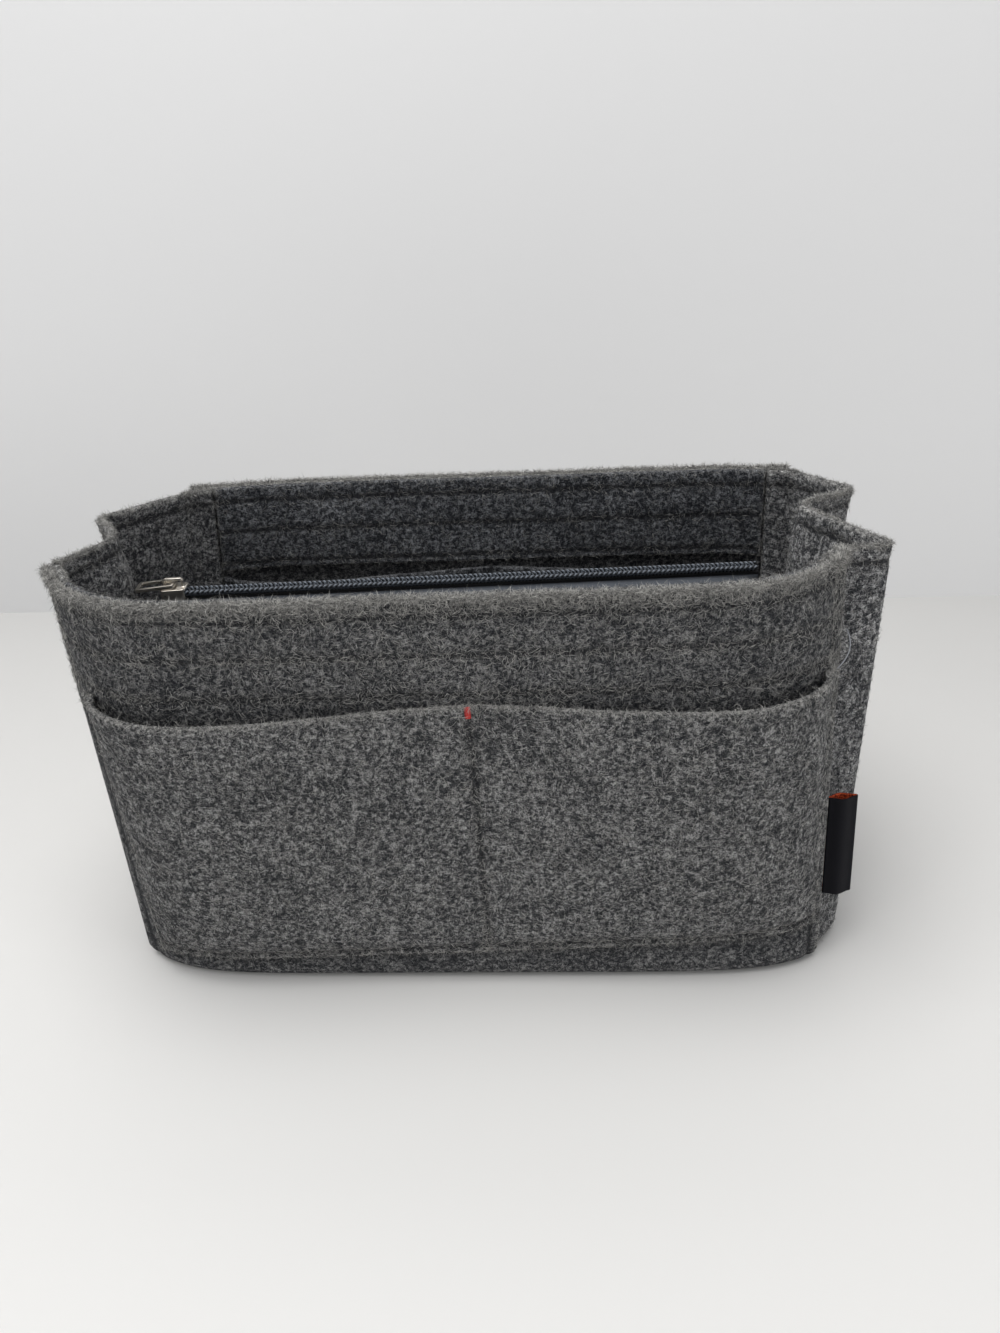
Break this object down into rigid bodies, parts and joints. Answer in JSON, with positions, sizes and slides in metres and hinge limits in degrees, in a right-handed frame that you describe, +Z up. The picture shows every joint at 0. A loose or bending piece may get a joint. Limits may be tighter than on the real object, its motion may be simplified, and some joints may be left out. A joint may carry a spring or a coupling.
{
  "type": "purse organizer insert",
  "caption": "Soft felt organizer insert for a handbag: open tub with folding end gussets, slip pockets inside and out, and a lift-out zipped pouch.",
  "frame": {"origin": "on the floor under the middle of the tub, on the underside of the bottom panel", "axes": "+X to the right along the length, +Y towards the back, +Z up"},
  "size_m": [0.2818, 0.149, 0.1512],
  "materials": {
    "felt_body": "heather grey pressed felt",
    "felt_pocket": "heather grey pressed felt",
    "felt_facing": "heather grey pressed felt",
    "zip_tape": "woven slate blue tape",
    "zip_coil": "slate blue nylon",
    "zip_metal": "nickel plated die casting",
    "hook_and_loop": "dark grey hook and loop strip",
    "label_ribbon": "black woven ribbon"
  },
  "bodies": {
    "tub": {"front_panel": "felt_body", "back_panel": "felt_body", "bottom_panel": "felt_body", "left_gusset": "felt_body", "right_gusset": "felt_body", "front_band": "felt_facing", "back_band": "felt_facing", "front_outer_pocket": "felt_pocket", "back_outer_pocket": "felt_pocket", "front_inner_pocket": "felt_facing", "back_inner_pocket": "felt_facing", "left_loop_patch": "hook_and_loop", "right_loop_patch": "hook_and_loop", "side_label": "label_ribbon"},
    "pouch": {"pouch_front_panel": "felt_pocket", "pouch_back_panel": "felt_pocket", "zipper_tape_front": "zip_tape", "zipper_tape_back": "zip_tape", "zipper_coil_front": "zip_coil", "zipper_coil_back": "zip_coil", "left_hook_patch": "hook_and_loop", "right_hook_patch": "hook_and_loop"},
    "slider": {"zipper_slider": "zip_metal"},
    "pull": {"slider_pull": "zip_metal"}
  },
  "joints": [
    {"name": "pouch_lift", "type": "slide", "parent": "tub", "child": "pouch", "axis": [0, 0, 1], "range_m": [0, 0.16]},
    {"name": "slider_travel", "type": "slide", "parent": "pouch", "child": "slider", "axis": [0.9977, 0.0672, 0], "range_m": [0, 0.206]},
    {"name": "pull_swing", "type": "hinge", "parent": "slider", "child": "pull", "pos_m": [-0.1113, -0.00304, 0.13115], "axis": [-0.0672, 0.9977, 0], "range_deg": [0, 185]}
  ]
}
